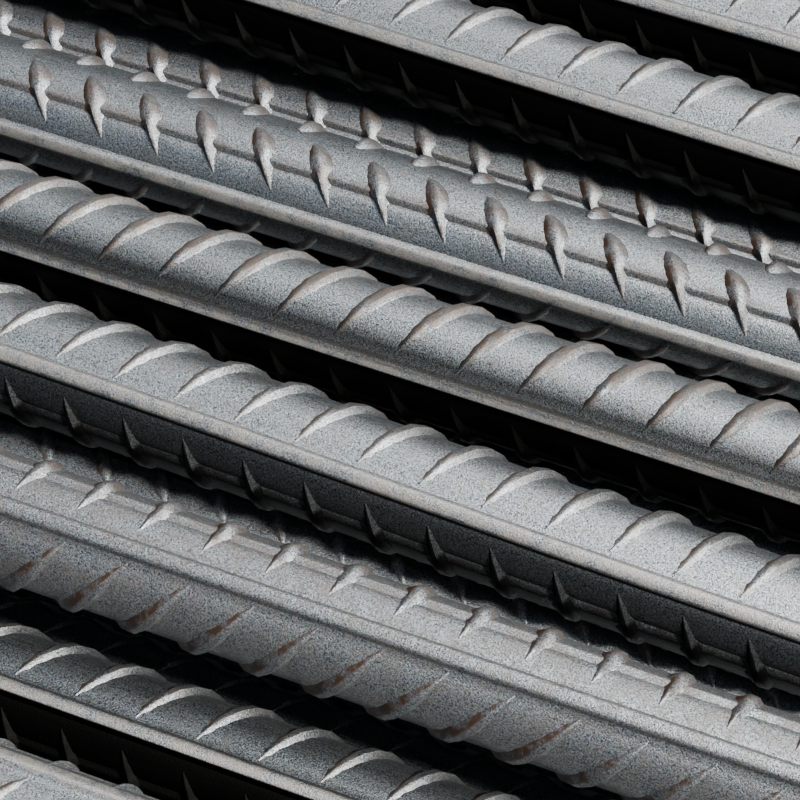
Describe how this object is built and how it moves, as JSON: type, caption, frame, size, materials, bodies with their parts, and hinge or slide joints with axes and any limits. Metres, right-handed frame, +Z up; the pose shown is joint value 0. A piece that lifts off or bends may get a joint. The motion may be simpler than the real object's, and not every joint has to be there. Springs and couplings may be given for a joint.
{
  "type": "rebar bundle",
  "caption": "Loosely stacked layers of hot-rolled ribbed steel reinforcing bars, held together by two flat steel straps with folded seals.",
  "frame": {"origin": "centre of the bundle at the underside of the straps, where it rests on the floor", "axes": "+X along the bars, +Y across the bundle towards its far side, +Z up"},
  "size_m": [1.012, 0.2106, 0.0509],
  "materials": {
    "ribbed_bar": "hot-rolled mill scale with light rust on the ribs",
    "strapping": "blued steel band",
    "seal": "zinc-plated, crimped"
  },
  "bodies": {
    "root": {"bottom_bar_01": "ribbed_bar", "bottom_bar_02": "ribbed_bar", "bottom_bar_03": "ribbed_bar", "bottom_bar_04": "ribbed_bar", "bottom_bar_05": "ribbed_bar", "bottom_bar_06": "ribbed_bar", "bottom_bar_07": "ribbed_bar", "bottom_bar_08": "ribbed_bar", "bottom_bar_09": "ribbed_bar", "bottom_bar_10": "ribbed_bar", "bottom_bar_11": "ribbed_bar", "bottom_bar_12": "ribbed_bar", "middle_bar_01": "ribbed_bar", "middle_bar_02": "ribbed_bar", "middle_bar_03": "ribbed_bar", "middle_bar_04": "ribbed_bar", "middle_bar_05": "ribbed_bar", "middle_bar_06": "ribbed_bar", "middle_bar_07": "ribbed_bar", "middle_bar_08": "ribbed_bar", "middle_bar_09": "ribbed_bar", "middle_bar_10": "ribbed_bar", "top_bar_01": "ribbed_bar", "top_bar_02": "ribbed_bar", "top_bar_03": "ribbed_bar", "top_bar_04": "ribbed_bar", "top_bar_05": "ribbed_bar", "top_bar_06": "ribbed_bar", "top_bar_07": "ribbed_bar", "left_strap": "strapping", "left_strap_seal": "seal", "right_strap": "strapping", "right_strap_seal": "seal"}
  },
  "joints": []
}
